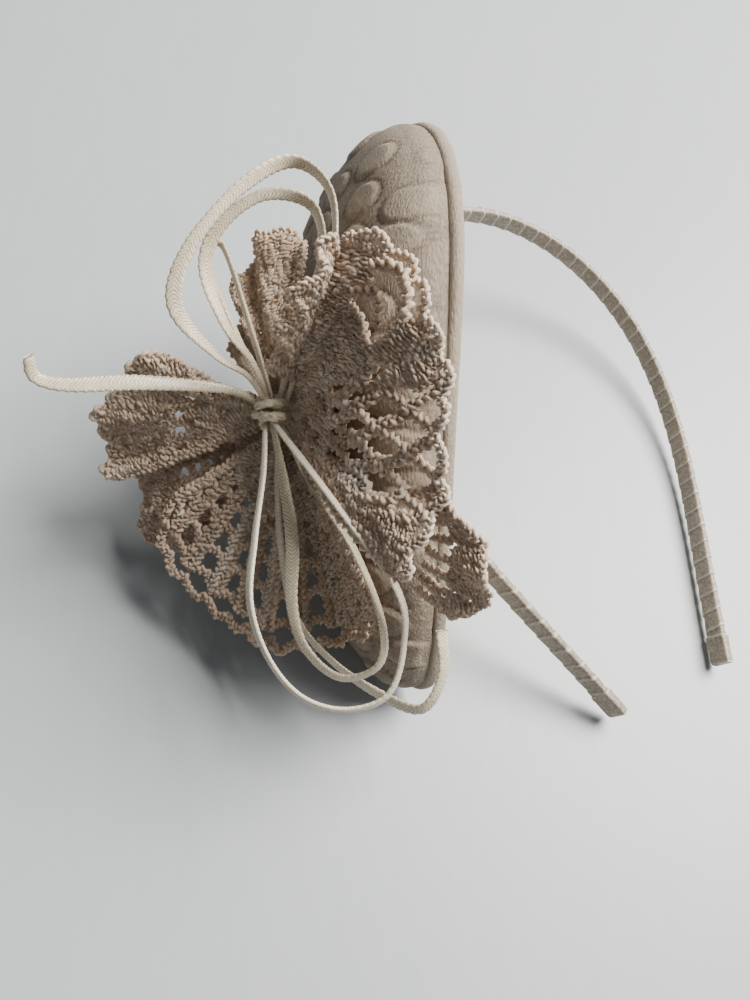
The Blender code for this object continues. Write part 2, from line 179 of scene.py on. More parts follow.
def resample(path, step):
    """Evenly spaced points along a path, and their distances from its start."""
    path = np.asarray(path, float)
    lengths = np.concatenate([[0], np.cumsum(np.linalg.norm(np.diff(path, axis=0), axis=1))])
    count = max(int(round(lengths[-1] / step)), 2)
    s = np.linspace(0, lengths[-1], count + 1)
    return np.stack([np.interp(s, lengths, path[:, k]) for k in range(path.shape[1])], 1), s


def transported(path):
    """Tangents and a pair of slowly turning normals along a path."""
    tangent = unit(np.gradient(path, axis=0))
    seed = np.array([0.3, 0.2, 1.0])
    normal = seed - tangent[0] * (seed @ tangent[0])
    if np.linalg.norm(normal) < 0.2:
        normal = np.array([1.0, 0, 0])
    normals = []
    for t in tangent:
        normal = normal - t * (normal @ t)
        normal = normal / max(np.sqrt(normal @ normal), 1e-9)
        normals.append(normal)
    normals = np.array(normals)
    return tangent, normals, np.cross(tangent, normals)


def ring_faces(rings, sides):
    row = np.arange(rings - 1)[:, None] * sides
    i = np.arange(sides)[None]
    j = (i + 1) % sides
    return np.stack([row + i, row + j, row + sides + j, row + sides + i], -1).reshape(-1, 4)


def cord(build, path, radius, plies=3, pitch=2.3, sides=5, step=0.36, tone=0.0, plait=False, knob=0.0):
    """A twisted yarn, or a flat plait like a crochet chain, tapered shut at both ends.

    knob is the length of one stitch, drawn in tight at each end.
    """
    path, s = resample(path, step)
    _, normal, side = transported(path)
    phase = rng.uniform(0, 2 * math.pi)
    end = np.minimum(np.minimum(s, s[-1] - s) / 0.5, 1.0)
    swell = np.sqrt(np.clip(end, 0.02, 1))
    around = np.linspace(0, 2 * math.pi, sides, endpoint=False)
    girth = radius * np.ones(len(s))
    if knob:
        girth = radius * (0.74 + 0.44 * np.abs(np.sin(np.pi * s / knob + phase)))
    ring = (np.cos(around)[None, :, None] * normal[:, None]
            + np.sin(around)[None, :, None] * side[:, None])
    for k in range(plies):
        angle = 2 * math.pi * (s / pitch + k / plies) + phase
        if plait:
            flat, rise, thick = 0.66 * np.cos(angle), 0.36 * np.sin(2 * angle), 0.50
        else:
            flat, rise, thick = 0.50 * np.sin(angle), 0.50 * np.cos(angle), 0.60
        centre = path + girth[:, None] * (flat[:, None] * side + rise[:, None] * normal) * (plies > 1)
        tube = girth * (thick if plies > 1 else 1.0) * swell
        verts = centre[:, None] + tube[:, None, None] * ring
        tones = np.full(len(path) * sides, tone)
        build.add(verts.reshape(-1, 3), ring_faces(len(path), sides), tones)


# ---- materials ----
def new_material(name):
    material = bpy.data.materials.new(name)
    material.use_nodes = True
    tree = material.node_tree
    return material, tree, tree.nodes["Principled BSDF"]


def node(tree, kind, **values):
    made = tree.nodes.new(kind)
    for key, value in values.items():
        if key in made.inputs:
            made.inputs[key].default_value = value
        else:
            setattr(made, key, value)
    return made


def mixed(tree, factor, low, high):
    """A colour mix; each of factor, low and high is a socket or a plain value."""
    mix = tree.nodes.new("ShaderNodeMix")
    mix.data_type = "RGBA"
    for index, value in ((0, factor), (6, low), (7, high)):
        if isinstance(value, bpy.types.NodeSocket):
            tree.links.new(value, mix.inputs[index])
        elif index == 0:
            mix.inputs[0].default_value = value
        else:
            mix.inputs[index].default_value = (*value, 1)
    return mix.outputs[2]


def ranged(tree, value, low, high, top=1.0):
    """The value spread from low..high to 0..top."""
    spread = node(tree, "ShaderNodeMapRange")
    spread.inputs["From Min"].default_value = low
    spread.inputs["From Max"].default_value = high
    spread.inputs["To Max"].default_value = top
    tree.links.new(value, spread.inputs["Value"])
    return spread.outputs["Result"]


def part_above_zero(tree, value, factor):
    """The value times the factor, kept between 0 and 1."""
    times = node(tree, "ShaderNodeMath", operation="MULTIPLY")
    times.inputs[1].default_value = factor
    times.use_clamp = True
    tree.links.new(value, times.inputs[0])
    return times.outputs[0]


def fabric(name, colour, dark, light, scale, rough, bump,
           stretch=(1, 1, 1), glow=0.0, sheen=0.3, fine=None, weave=False):
    """Cloth: blotchy colour, the tone attribute for painted shade in valleys, painted highlights on edges
    and random strand tone, and a fine bumpy weave.

    glow is the share of light let through; weave maps the grain by the weave attribute.
    """
    material, tree, shader = new_material(name)
    place = node(tree, "ShaderNodeTexCoord").outputs["Object"]
    mapped = node(tree, "ShaderNodeMapping", Scale=stretch)
    grid = place
    if weave:
        grid = node(tree, "ShaderNodeAttribute", attribute_name="weave").outputs["Vector"]
    tree.links.new(grid, mapped.inputs["Vector"])
    blotch = node(tree, "ShaderNodeTexNoise", Scale=150.0 if weave else scale * 0.12, Detail=4.0)
    grain = node(tree, "ShaderNodeTexNoise", Scale=scale, Detail=2.0 if weave else 3.0, Roughness=0.6)
    tree.links.new(place, blotch.inputs["Vector"])
    tree.links.new(mapped.outputs[0], grain.inputs["Vector"])
    tone = node(tree, "ShaderNodeAttribute", attribute_name="tone").outputs["Fac"]
    deep, pale = tuple(c * 0.86 for c in colour), tuple(min(c * 1.1, 1) for c in colour)
    base = mixed(tree, ranged(tree, blotch.outputs["Fac"], 0.35, 0.68), deep, pale)
    base = mixed(tree, ranged(tree, grain.outputs["Fac"], 0.40, 0.66, 0.4), base, light)
    # tone below zero mixes in the dark colour and above zero the light one: painted shade and painted
    # highlights, or random strand tone on the lace
    valley, edge = part_above_zero(tree, tone, -1.0), part_above_zero(tree, tone, 1.0)
    base = mixed(tree, valley, base, dark)
    base = mixed(tree, edge, base, light)
    tree.links.new(base, shader.inputs["Base Color"])
    shader.inputs["Roughness"].default_value = rough
    shader.inputs["Sheen Weight"].default_value = sheen
    shader.inputs["Sheen Roughness"].default_value = 0.5
    height = grain.outputs["Fac"]
    if fine:
        wave = node(tree, "ShaderNodeTexWave", Scale=fine, Distortion=3.0, Detail=2.0)
        wave.inputs["Detail Scale"].default_value = 2.0
        tree.links.new(mapped.outputs[0], wave.inputs["Vector"])
        both = node(tree, "ShaderNodeMath", operation="ADD")
        tree.links.new(wave.outputs["Fac"], both.inputs[0])
        tree.links.new(height, both.inputs[1])
        height = both.outputs[0]
    bumped = node(tree, "ShaderNodeBump", Strength=0.6, Distance=bump)
    tree.links.new(height, bumped.inputs["Height"])
    tree.links.new(bumped.outputs["Normal"], shader.inputs["Normal"])
    if glow:
        through = tree.nodes.new("ShaderNodeBsdfTranslucent")
        warm = mixed(tree, 0.6, base, (0.62, 0.36, 0.16))
        tree.links.new(warm, through.inputs["Color"])
        mix = tree.nodes.new("ShaderNodeMixShader")
        mix.inputs[0].default_value = glow
        out = tree.nodes["Material Output"]
        tree.links.new(shader.outputs[0], mix.inputs[1])
        tree.links.new(through.outputs[0], mix.inputs[2])
        tree.links.new(mix.outputs[0], out.inputs["Surface"])
    return material


COTTON = fabric("crochet_yarn", (0.80, 0.60, 0.43), (0.30, 0.16, 0.08), (0.97, 0.89, 0.78),
                1800, 0.85, 0.00012, glow=0.20, sheen=0.06, fine=2600)
RAFFIA = fabric("braided_straw", (0.66, 0.55, 0.37), (0.24, 0.16, 0.075), (0.93, 0.87, 0.75),
                900, 0.30, 0.00006, glow=0.10, sheen=0.1)
# quilt colours darker than the cloth's own greige: partly painted shade for the pad's shaded top
QUILT = fabric("matelasse_cotton", (0.185, 0.142, 0.102), (0.07, 0.048, 0.03), (0.38, 0.315, 0.245),
               1.0, 0.9, 0.0005, stretch=(0.75, 2.6, 1.6), sheen=0.03, weave=True)
WRAP = fabric("wound_ribbon", (0.22, 0.172, 0.122), (0.085, 0.06, 0.037), (0.66, 0.59, 0.48),
              1400, 0.5, 0.00008, sheen=0.2)
THREAD = fabric("tie_thread", (0.72, 0.66, 0.52), (0.40, 0.34, 0.25), (0.85, 0.80, 0.70),
                3000, 0.6, 0.00005)


# ---- pad shape ----
OFF_PAD = -99.0


def pad_outline(angle, inset=0.0):
    x = (PAD_HALF_LENGTH - inset) * np.cos(angle)
    y = (PAD_HALF_WIDTH - inset) * (1 - PAD_TAPER * np.cos(angle)) * np.sin(angle)
    return x, y


def bend_back(x):
    """How far the pad's bend lowers it at x."""
    return x * x / (2 * PAD_BEND)


def pad_share(x, y):
    """How far out points lie, as a share of the way from the pad's middle to its outline."""
    reach = np.zeros_like(x)
    for _ in range(12):
        reach = np.arctan2(y / (PAD_HALF_WIDTH * (1 - PAD_TAPER * np.cos(reach))), x / PAD_HALF_LENGTH)
    rim_x, rim_y = pad_outline(reach)
    return np.hypot(x, y) / np.hypot(rim_x, rim_y)


def pad_front(x, y):
    """Height of the quilted front over points, or OFF_PAD outside the pad's outline."""
    share = pad_share(x, y)
    rise = COVER_CROWN * np.sqrt(np.clip(1 - share ** 3, 0, 1))
    return np.where(share < 1, COVER_BASE + COVER_SKIRT + rise - bend_back(x), OFF_PAD)


def cushion_start(inset):
    """The closed padded shape a little inside its cover."""
    sectors, count = 64, 14
    shares = np.sin(np.pi / 2 * np.arange(1, count + 1) / count)
    angles = np.linspace(0, 2 * np.pi, sectors, endpoint=False)
    x, y = pad_outline(angles, inset)
    table, low = COVER_BASE + COVER_SKIRT - inset, COVER_BASE + inset * 0.6
    rows = []
    for share in shares:
        rise = COVER_CROWN * math.sqrt(max(1 - share ** 3, 0))
        rows.append(np.stack([x * share, y * share, table + rise - bend_back(x * share)], 1))
    for share in [1.0, *shares[-2::-1]]:
        rows.append(np.stack([x * share, y * share, low - bend_back(x * share)], 1))
    verts = np.vstack([[[0, 0, table + COVER_CROWN]], *rows, [[0, 0, low]]])
    faces = [(0, 1 + i, 1 + (i + 1) % sectors) for i in range(sectors)]
    faces += [tuple(f + 1) for f in ring_faces(len(rows), sectors)]
    last = 1 + (len(rows) - 1) * sectors
    faces += [(last + (i + 1) % sectors, last + i, len(verts) - 1) for i in range(sectors)]
    return verts, [tuple(int(v) for v in f) for f in faces]


def cells(points, size, stagger):
    """Distance to the nearest centre of a jittered, staggered grid, in cells."""
    local = np.random.default_rng(5)
    centres = []
    for row in range(-9, 10):
        for col in range(-9, 10):
            centres.append(((col + 0.5 * (row % 2)) * size[1] + local.normal(0, stagger),
                            row * size[0] + local.normal(0, stagger)))
    centres = np.array(centres)
    scale = np.array([1 / size[1], 1 / size[0]])
    block = 8000                      # points at a time, to spare memory
    best = np.empty(len(points))
    for start in range(0, len(points), block):
        away = (points[start:start + block, None] - centres[None]) * scale
        best[start:start + block] = np.linalg.norm(away, axis=2).min(1)
    return best


def swell(obj, cap, pressure):
    """Cloth pressure swells the mesh: every point moves outward by 0.8 of cap to all of it."""
    before = read(obj.data, "co")
    cloth = obj.modifiers.new("Cloth", "CLOTH")
    cloth.settings.use_pressure = True
    cloth.settings.uniform_pressure_force = pressure
    cloth.settings.effector_weights.gravity = 0
    cloth.settings.quality = 6
    cloth.settings.tension_stiffness = 25
    scene = bpy.context.scene
    for number in range(1, 21):
        scene.frame_set(number)
    shaped = obj.evaluated_get(bpy.context.evaluated_depsgraph_get())
    after = read(shaped.data, "co")
    obj.modifiers.remove(cloth)
    scene.frame_set(1)
    normals = read(obj.data, "normal")
    outward = ((after - before) * normals).sum(1)
    move_to(obj.data, before + normals * np.clip(outward, cap * 0.8, cap)[:, None])


def bake_modifier(obj):
    shaped = obj.evaluated_get(bpy.context.evaluated_depsgraph_get())
    mesh = bpy.data.meshes.new_from_object(shaped)
    obj.modifiers.clear()
    old = obj.data
    obj.data = mesh
    bpy.data.meshes.remove(old)


def build_cushion():
    verts, faces = cushion_start(0.7)
    scale = SIMULATION_SCALE * MM
    obj = make_piece("cushion_cover", verts * scale, faces, QUILT)
    remesh = obj.modifiers.new("Remesh", "REMESH")
    remesh.mode = "VOXEL"
    remesh.voxel_size = CUSHION_VOXEL * scale
    bake_modifier(obj)
    swell(obj, SWELL * scale, 4.0)
    smooth = obj.modifiers.new("Smooth", "SMOOTH")
    smooth.iterations = 2
    divide = obj.modifiers.new("Subdivision", "SUBSURF")
    divide.levels = divide.render_levels = 3
    bake_modifier(obj)
    mesh = obj.data
    points, normals = read(mesh, "co") / scale, read(mesh, "normal")
    add_weave(mesh, points)
    x, y = points[:, 0], points[:, 1]
    height = points[:, 2] + bend_back(x)

    # raised bubbles with broken grooves round them, and a seam round the foot
    front = np.clip((height - COVER_BASE - 1.5) / 4.0, 0, 1)
    near = cells(points[:, :2], BUBBLE_GRID, BUBBLE_JITTER)
    share = np.clip((0.42 - near) / 0.13, 0, 1)
    bubble = share * share * (3 - 2 * share)
    groove = np.exp(-((near - 0.43) / 0.04) ** 2) * (0.55 + 0.45 * np.sin(x * 4.2 + y * 2))
    seam = np.exp(-((height - COVER_BASE - COVER_SKIRT) / 0.4) ** 2) * (1 - front)
    relief = front * (BUBBLE_RISE * bubble - GROOVE_SINK * groove) - SEAM_SINK * seam
    points = points + normals * relief[:, None]

    # the side wall stays outside the wadding, and the foot above the board
    wall = np.clip((height - 2.2) / 0.8, 0, 1) * np.clip((11 - height) / 2, 0, 1)
    climb = np.clip((height - COVER_BASE - COVER_SKIRT) / COVER_CROWN, 0, 0.5)
    wanted = 0.992 * np.cbrt(1 - climb ** 2)
    short = wanted / pad_share(points[:, 0], points[:, 1]) - 1
    points[:, :2] *= 1 + (wall * np.clip(short, 0, 0.1))[:, None]
    points[:, 2] = np.maximum(points[:, 2], COVER_BASE - bend_back(points[:, 0]) + 0.05)

    move_to(mesh, pad_world(points))
    # painted highlight on the bubbles' tops, painted shade in the grooves and along the foot seam
    add_tone(mesh, np.clip(0.02 + 0.14 * bubble * front - 0.55 * groove * front - 0.3 * seam, -1, 1))
    mesh.materials.clear()
    mesh.materials.append(QUILT)
    mesh.shade_smooth()
    mesh.update()
    dress(obj, "pad_and_crown", "quilted_cotton", "pad_cover")


def build_backing():
    """Cloth back that laps up round the cushion's edge."""
    angles = np.linspace(0, 2 * np.pi, 300, endpoint=False)
    bulge = 1.1 * np.exp(-((angles - 2.05) / 0.36) ** 2)
    x0, y0 = pad_outline(angles, 0.4)
    lap = ((2.4, 2.6), (0.5, 3.1), (-0.1, 2.8), (-0.4, 2.0), (-0.45, 1.0), (-0.35, 0.3), (0, 0), (1, 0.1))
    rows = []
    for inset, height in lap:
        x, y = pad_outline(angles, inset)
        puff = 1 + bulge + 0.06 * np.sin(angles * 31)
        x, y = x0 + (x - x0) * puff, y0 + (y - y0) * puff
        rows.append(np.stack([x, y, height - bend_back(x)], 1))
    for share in np.linspace(0.95, 0.02, 26):
        x, y = pad_outline(angles, 1.0)
        x, y = x * share, y * share
        low = 0.1 + 0.12 * np.sin(x * 0.9) * np.sin(y * 0.8)
        rows.append(np.stack([x, y, low - bend_back(x)], 1))
    local = np.vstack(rows)
    quads = ring_faces(len(rows), len(angles))
    last = (len(rows) - 1) * len(angles)
    half = len(angles) // 2
    i = np.arange(half - 1)
    end = last + len(angles) - 1
    shut = np.stack([last + i, last + i + 1, end - 1 - i, end - i], 1)
    tone = np.full(len(local), 0.45)
    obj = make_piece("pad_back_cloth", pad_world(local), np.vstack([quads, shut]), QUILT, tone)
    add_weave(obj.data, local)
    dress(obj, "pad_and_crown", "backing_felt", "pad_backing")


# ---- crochet ----
def along_curve(curve, u):
    """The points a share u of the way along a sampled curve."""
    place, index = u * (len(curve) - 1), np.arange(len(curve))
    return np.stack([np.interp(place, index, curve[:, k]) for k in range(3)], -1)


class Sheet:
    """A ruled, ruffled sheet from a root curve to a rim curve, kept clear of the pad."""

    def __init__(self, root, rim, waves=2.0, ruffle=2.0, bulge=0.0, curl=0.0, lift=1.0,
                 bow=(0, 0, 0), floor=True):
        self.root, self.rim = (resample(smooth_curve(curve), 0.25)[0] for curve in (root, rim))
        self.waves, self.ruffle, self.bulge, self.curl = waves, ruffle, bulge, curl
        self.lift, self.bow, self.floor = lift, np.array(bow, float), floor
        self.height = np.linalg.norm(self.rim[::10].mean(0) - self.root[::10].mean(0))

    def base(self, u, v):
        u = np.clip(u, 0, 1)
        inner, outer = along_curve(self.root, u), along_curve(self.rim, u)
        v = np.asarray(v, float)[..., None]
        point = inner + (outer - inner) * v + self.bow * np.sin(np.pi * np.clip(v, 0, 1))
        fold = self.ruffle * np.clip(v[..., 0], 0, None) ** 1.5 * np.sin(2 * np.pi * self.waves * u)
        point[..., 2] += fold + self.bulge * np.sin(np.pi * np.clip(v[..., 0], 0, 1))
        roll = np.clip(v[..., 0] - 0.72, 0, 1) ** 2
        point[..., 2] += self.curl * roll
        if self.floor:
            shape = point[..., 0].shape
            low = pad_front(point[..., 0].ravel(), point[..., 1].ravel()).reshape(shape) + self.lift
            soft = np.logaddexp((point[..., 2] - low) * 1.5, 0) / 1.5
            point[..., 2] = np.where(low > OFF_PAD / 2, low + soft, point[..., 2])
        return point

    def at(self, uv, lift=0.0):
        uv = np.asarray(uv, float)
        u, v = uv[:, 0], uv[:, 1]
        point = self.base(u, v)
        step = 0.01
        du = self.base(np.clip(u + step, 0, 1), v) - self.base(np.clip(u - step, 0, 1), v)
        dv = self.base(u, v + step) - self.base(u, v - step)
        normal = unit(np.cross(du, dv))
        amount = lift if np.isscalar(lift) else np.asarray(lift)[:, None]
        return point + normal * amount


def line_uv(a, b, count=8):
    t = np.linspace(0, 1, count)[:, None]
    return np.asarray(a) * (1 - t) + np.asarray(b) * t


def arc_uv(a, b, rise, count=9):
    path = line_uv(a, b, count)
    path[:, 1] += rise * np.sin(np.pi * np.linspace(0, 1, count))
    return path


class Lace:
    """Stitches on a sheet. Widths and heights are in millimetres on the sheet."""

    def __init__(self, sheet, yarn=0.70):
        self.sheet, self.yarn, self.build = sheet, yarn, Build()

    def run(self, path, radius=1.0, lift=0.0, wobble=0.17, grain=1.5, **more):
        points = resample(self.sheet.at(path, lift), grain)[0]
        points[1:-1] += rng.normal(0, wobble, points[1:-1].shape)
        more.setdefault("knob", rng.uniform(1.5, 2.1))
        tone = rng.normal(-0.03, 0.16)
        cord(self.build, smooth_curve(points, 5), self.yarn * radius, tone=tone, **more)

    def plait(self, path, radius=1.0, lift=0.0):
        self.run(path, radius, lift, plait=True, pitch=rng.uniform(3.0, 3.6) * radius, step=0.42)

    def width_at(self, v):
        line = self.sheet.base(np.linspace(0, 1, 40), np.full(40, v))
        return np.linalg.norm(np.diff(line, axis=0), axis=1).sum()

    def rows(self, v0, v1, row):
        return max(int(round((v1 - v0) * self.sheet.height / row)), 1)

    def across(self, v0, v1, u0, u1, hole):
        """How many holes fit between u0 and u1."""
        return max(int(round(self.width_at((v0 + v1) / 2) * (u1 - u0) / hole)), 2)

    def chain(self, v, u0=0.0, u1=1.0, radius=1.0, wave=0.006):
        count = int(self.width_at(v) * (u1 - u0) / 1.2) + 4
        u = np.linspace(u0, u1, count)
        path = np.stack([u, v + wave * np.sin(np.arange(count) * 2.1)], 1)
        self.plait(path, radius * 1.15, lift=0.25)

    def dense(self, v0, v1, u0=0.0, u1=1.0, pitch=2.0, row=2.2):
        """Rows of close V stitches."""
        rows = self.rows(v0, v1, row)
        edges = np.linspace(v0, v1, rows + 1)
        for low, high in zip(edges, edges[1:]):
            count = max(int(self.width_at((low + high) / 2) * (u1 - u0) / pitch), 2)
            step, over = (u1 - u0) / count, (high - low) * 0.3
            for k in range(count):
                u = u0 + (k + 0.5 + rng.uniform(-0.15, 0.15)) * step
                wide, foot = step * rng.uniform(0.3, 0.5), low - over * rng.uniform(0, 1.2)
                top, toe = high + over, step * 0.12
                self.run([(u - wide, top), (u - toe, foot), (u + toe, foot), (u + wide, top)],
                         rng.uniform(0.95, 1.3), rng.uniform(-0.3, 0.5), wobble=0.13, grain=0.9,
                         pitch=rng.uniform(1.6, 2.6), plies=2, step=0.42, knob=rng.uniform(1.5, 2.4))
        self.chain(v1, u0, u1)

    def net(self, v0, v1, u0=0.0, u1=1.0, hole=5.2, row=4.4, radius=1.2):
        rows, count = self.rows(v0, v1, row), self.across(v0, v1, u0, u1, hole)
        step = (u1 - u0) / count
        rise = (v1 - v0) / rows
        for r in range(rows):
            shift = 0.5 * (r % 2)
            for k in range(-1, count + 1):
                a, b = u0 + (k + shift) * step, u0 + (k + 1 + shift) * step
                if b <= u0 or a >= u1:
                    continue
                a, b = max(a, u0), min(b, u1)
                low = v0 + r * rise + rise * rng.uniform(-0.06, 0.06)
                arch = arc_uv((a, low), (b, low), rise * 1.12)
                self.plait(arch, radius * 1.12, lift=rng.uniform(-0.2, 0.4))

    def filet(self, v0, v1, u0=0.0, u1=1.0, hole=5.4, row=5.0, sag=0.35, radius=1.15, ribs=1):
        rows, count = self.rows(v0, v1, row), self.across(v0, v1, u0, u1, hole)
        step = (u1 - u0) / count
        rise = (v1 - v0) / rows
        for k in range(count + 1):
            for rib in range(ribs):
                u = u0 + k * step + (rib - (ribs - 1) / 2) * step * 0.24
                self.plait(line_uv((u, v0), (u, v1), 10), radius * 1.25, lift=0.3 * (rib % 2))
        for r in range(rows + 1):
            for k in range(count):
                v = v0 + r * rise
                dip = arc_uv((u0 + k * step, v), (u0 + (k + 1) * step, v), -rise * sag)
                self.plait(dip, radius * 1.2, lift=0.3)

    def shells(self, v0, v1, u0=0.0, u1=1.0, size=7.0, posts=6):
        count = max(int(round(self.width_at(v1) * (u1 - u0) / size)), 1)
        step = (u1 - u0) / count
        for k in range(count):
            centre = u0 + (k + 0.5) * step
            for j in range(posts):
                t = (j + 0.5) / posts * 2 - 1
                top = v1 - (v1 - v0) * 0.42 * t * t
                post = line_uv((centre + t * step * 0.12, v0), (centre + t * step * 0.47, top), 5)
                lift = 0.8 * (1 - t * t) + rng.uniform(-0.1, 0.3)
                self.run(post, 1.3, lift, plies=2, sides=6, pitch=2.0)
            t = np.linspace(-1, 1, 14)
            edge = np.stack([centre + t * step * 0.5, v1 - (v1 - v0) * 0.46 * t * t + 0.012], 1)
            self.plait(edge, 1.3, lift=0.5)

    def bars(self, v0, v1, gap=4.6, u0=0.0, u1=1.0, radius=1.35):
        count = self.across(v0, v1, u0, u1, gap)
        for k in range(count + 1):
            u = u0 + (u1 - u0) * k / count
            bar, twin = line_uv((u, v0), (u, v1), 8), line_uv((u + 0.03, v0), (u + 0.02, v1), 8)
            self.plait(bar, radius, lift=rng.uniform(-0.1, 0.5))
            self.run(twin, radius * 0.9, lift=rng.uniform(-0.1, 0.3))

    def border(self, u, radius=1.1):
        self.plait(line_uv((u, 0.0), (u, 1.0), 16), radius * 1.25, lift=0.2)

    def rim(self, bumps=6.0, height=0.05, radius=1.25):
        count = max(int(round(self.width_at(1.0) / bumps)), 1)
        t = np.linspace(0, 1, count * 9 + 1)
        v = 1.0 + height * np.abs(np.sin(np.pi * t * count))
        self.plait(np.stack([t, v], 1), radius * 1.1, lift=0.2)

    def edge(self, bumps, height, radius=1.25):
        """The scalloped rim and both straight sides."""
        self.rim(bumps, height, radius)
        self.border(0.0)
        self.border(1.0)

    def finish(self, name, body, *nodes):
        dress(self.build.piece(name, COTTON, pad_world), body, "crochet_cotton", *nodes)


def gather_arc(start, end, radius=4.2, height=22.6, count=5):
    a = np.radians(np.linspace(start, end, count))
    return np.stack([radius * np.cos(a), radius * np.sin(a), np.full(count, height)], 1)


def lobe(root, rim, yarn=0.70, **shape):
    return Lace(Sheet(root, rim, **shape), yarn)


def build_doily():
    near = lobe(gather_arc(150, 28),
                [(-30, 23, 21), (-32, 31, 20), (-28, 36, 17), (-20, 41, 13), (-10, 42, 11), (4, 42, 10),
                 (16, 40, 10), (26, 37, 12), (36, 32, 14)],
                yarn=0.78, waves=3.5, ruffle=1.3, lift=1.8, bulge=4.0)
    near.dense(0.0, 0.36)
    near.dense(0.36, 0.98, 0.87, 1.0)
    near.net(0.36, 0.98, 0.40, 0.87, hole=6.4, row=5.4, radius=1.45)
    near.dense(0.36, 0.70, 0.18, 0.40)
    near.dense(0.36, 0.98, 0.0, 0.18)
    near.plait(arc_uv((0.18, 0.76), (0.34, 0.80), 0.07), 1.7, lift=2.0)
    near.plait(arc_uv((0.17, 0.92), (0.36, 0.94), 0.08), 1.9, lift=3.0)
    near.shells(0.70, 0.98, 0.35, 0.52, size=8)
    near.rim(bumps=8, height=0.06)
    near.border(0.0)
    near.border(1.0, radius=1.5)
    near.border(0.97, radius=1.3)
    near.finish("lace_near_wing", "pad_and_crown", "doily_wing_near")

    frill = lobe([(-6, 5, 24), (-14, 14, 25), (-22, 21, 24), (-29, 24, 21)],
                 [(-8, 6, 29), (-16, 18, 31), (-24, 27, 30), (-32, 31, 26)],
                 waves=3.5, ruffle=2.0, floor=False)
    frill.dense(0.0, 1.0, row=2.6)
    frill.rim(bumps=4, height=0.14)
    frill.finish("lace_frill", "pad_and_crown")

    corner = lobe([(21, 36, 9), (30, 33, 8), (39, 28, 8)],
                  [(20, 40, 7), (28, 44, 4), (36, 44, 1), (43, 38, 0), (45, 31, 2)],
                  waves=2.5, ruffle=1.2, lift=1.0)
    corner.bars(0.0, 0.5, gap=3.8)
    corner.dense(0.5, 1.0, row=2.2)
    corner.edge(bumps=4, height=0.06)
    corner.finish("lace_corner_lobe", "pad_and_crown", "doily_lobe_corner")

    top = lobe(gather_arc(236, 150),
               [(-13, -15, 29), (-25, -12, 30), (-36, -8, 28), (-40, -3, 24), (-36, 2, 20)],
               yarn=0.78, waves=3.0, ruffle=2.4, lift=1.2, bulge=2.0)
    top.dense(0.0, 1.0, pitch=1.6, row=2.6)
    top.edge(bumps=5, height=0.05)
    top.finish("lace_top_wing", "pad_and_crown", "doily_wing_top")

    bottom = lobe(gather_arc(-44, 30),
                  [(20, -20, 46), (33, -24, 45), (45, -18, 39), (51, -10, 31), (54, -4, 23),
                   (51, 8, 17), (46, 22, 14)],
                  yarn=0.78, waves=2.0, ruffle=1.4, lift=1.1)
    bottom.dense(0.0, 0.42)
    bottom.filet(0.42, 0.97, 0.0, 0.80, hole=7.0, row=5.2, sag=0.45, ribs=2)
    bottom.dense(0.42, 0.98, 0.84, 1.0)
    bottom.edge(bumps=7, height=0.05)
    bottom.finish("lace_bottom_wing", "pad_and_crown", "doily_wing_bottom")

    upper = lobe(gather_arc(248, 286, radius=5, height=24.2),
                 [(-13, -10, 47), (-7, -19, 54), (2, -26, 56), (10, -30, 55), (14, -30, 53)],
                 yarn=0.80, waves=2.2, ruffle=2.0, curl=26, lift=1.2, bow=(1, 0, 3))
    upper.dense(0.0, 0.5)
    upper.net(0.5, 0.66, hole=4.4, row=3.8)
    upper.dense(0.66, 1.0, pitch=1.9, row=2.4)
    upper.edge(bumps=5, height=0.05, radius=1.5)
    upper.finish("lace_left_upper_lobe", "left_lobes", "doily_lobe_left_upper")

    lower = lobe(gather_arc(268, 314, radius=5, height=22.0),
                 [(7, -29, 49), (16, -34, 51), (26, -36, 49), (31, -33, 44), (31, -28, 39)],
                 yarn=0.80, waves=2.0, ruffle=2.0, curl=-18, lift=1.2, bow=(2, 0, -1))
    lower.dense(0.0, 0.36)
    lower.filet(0.36, 0.78, hole=4.6, row=3.8)
    lower.dense(0.78, 1.0, pitch=1.9, row=2.4)
    lower.edge(bumps=5, height=0.05, radius=1.4)
    lower.finish("lace_left_lower_lobe", "left_lobes", "doily_lobe_left_lower")


def build_gather():
    """The doily's middle, pleated by the knot: spokes of yarn and three rounds over them."""
    gather = Build()
    spokes, pleats, deep = 64, 11, 0.9
    for k in range(spokes):
        a = 2 * math.pi * k / spokes + rng.uniform(-0.03, 0.03)
        pleat = deep * math.sin(k * 2 * math.pi * pleats / spokes)
        points = [(r * math.cos(a), r * math.sin(a), z + pleat * min(r / 6, 1))
                  for r, z in ((1.6, 24.6), (3.4, 23.6), (6.0, 22.0), (9.0, 20.9))]
        cord(gather, smooth_curve(points, 8), 0.62)
    for r, z in ((3.6, 23.5), (6.2, 22.0), (8.8, 21.0)):
        a = np.linspace(0, 2 * np.pi, 90)
        pleat = deep * np.sin(a * pleats) * min(r / 6, 1)
        cord(gather, np.stack([r * np.cos(a), r * np.sin(a), z + pleat], 1), 0.55)
    obj = gather.piece("lace_gathered_middle", COTTON, pad_world)
    dress(obj, "pad_and_crown", "crochet_cotton", "doily_gather")


# ---- braided straw ribbon ----
def braid_over(s, t):
    """How high the braid's strands stand at distances s along and shares t across."""
    chevron = np.abs(((s[:, None] / BRAID + np.abs(t)[None] * 0.8) % 1.0) - 0.5) * 2
    return np.sin(np.pi * np.clip(chevron, 0, 1))


